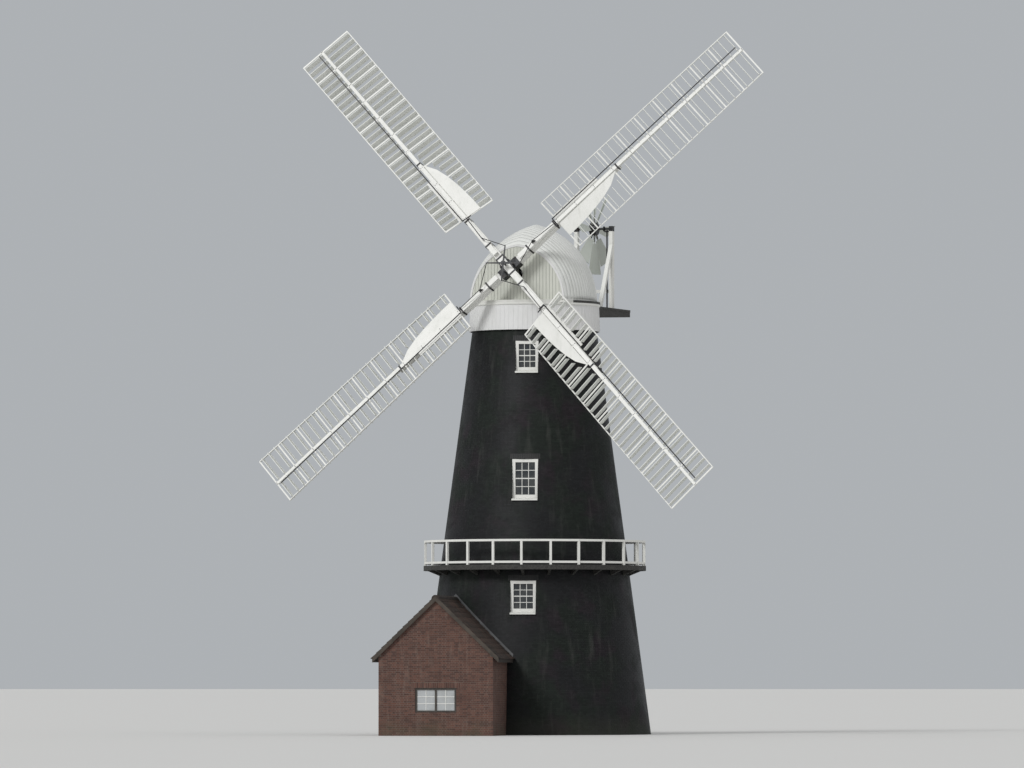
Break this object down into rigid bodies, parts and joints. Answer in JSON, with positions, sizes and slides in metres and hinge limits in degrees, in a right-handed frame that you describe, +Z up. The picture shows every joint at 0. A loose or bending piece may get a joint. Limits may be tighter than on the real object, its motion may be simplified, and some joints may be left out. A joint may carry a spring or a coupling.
{
  "type": "tower windmill",
  "caption": "Tall round brick tower mill with a boat-shaped cap, shuttered sails, a fantail, a railed gallery and a gabled annexe.",
  "frame": {"origin": "centre of the round tower at ground level", "axes": "+Z up; -Y out through the front column of windows and the annexe gable"},
  "size_m": [21.3971, 18.0247, 29.7815],
  "materials": {
    "tarred_brick": "matte",
    "red_brick": "matte",
    "clay_tile": "matte",
    "floor_brick": "matte",
    "window_glass": "gloss",
    "dark_paint": "satin",
    "tarred_timber": "matte",
    "bare_timber": "matte",
    "black_iron": "satin",
    "white_paint": "satin"
  },
  "bodies": {
    "tower": {"annexe_back_wall": "red_brick", "annexe_floor": "floor_brick", "annexe_front_wall": "red_brick", "annexe_glass": "window_glass", "annexe_left_wall": "red_brick", "annexe_ridge": "clay_tile", "annexe_right_wall": "red_brick", "annexe_roof_left": "clay_tile", "annexe_roof_right": "clay_tile", "annexe_window_frame": "dark_paint", "curb_ring": "bare_timber", "door_frames": "dark_paint", "doors": "dark_paint", "gallery_brackets": "tarred_timber", "gallery_deck": "tarred_timber", "gallery_low_rail": "white_paint", "gallery_posts": "white_paint", "gallery_rim": "tarred_timber", "gallery_top_rail": "white_paint", "ground_floor": "floor_brick", "tower_wall_back": "tarred_brick", "tower_wall_front": "tarred_brick", "tower_wall_left": "tarred_brick", "tower_wall_right": "tarred_brick", "upper_floors": "bare_timber", "window_frames": "white_paint", "window_glass": "window_glass", "window_sills": "white_paint"},
    "cap": {"cap_breast": "white_paint", "cap_circle": "bare_timber", "cap_deck": "tarred_timber", "cap_moulding": "white_paint", "cap_petticoat": "white_paint", "cap_roof": "white_paint", "cap_sheers": "tarred_timber", "fan_bearings": "black_iron", "fan_drive": "black_iron", "fan_frame": "white_paint", "fan_stage": "tarred_timber", "shaft_beams": "bare_timber", "shaft_bearings": "black_iron"},
    "sails": {"canister": "black_iron", "heel_boards": "white_paint", "sail_frame_1": "white_paint", "sail_frame_2": "white_paint", "sail_frame_3": "white_paint", "sail_frame_4": "white_paint", "sail_straps": "black_iron", "shutters_1": "white_paint", "shutters_2": "white_paint", "shutters_3": "white_paint", "shutters_4": "white_paint", "stocks": "white_paint", "striking_gear": "black_iron", "whips": "white_paint", "windshaft": "black_iron"},
    "fantail": {"fan_blades": "white_paint", "fan_hub": "black_iron"}
  },
  "joints": [
    {"name": "cap_turn", "type": "hinge", "parent": "tower", "child": "cap", "pos_m": [0, 0, 17.34], "axis": [0, 0, 1], "continuous": true},
    {"name": "sail_turn", "type": "hinge", "parent": "cap", "child": "sails", "pos_m": [-0.7436, -2.85474, 19.4603], "axis": [-0.2451, -0.941, 0.2334], "continuous": true},
    {"name": "fan_spin", "type": "hinge", "parent": "cap", "child": "fantail", "pos_m": [1.76449, 6.77396, 21.6003], "axis": [0.9677, -0.2521, 0], "continuous": true}
  ]
}
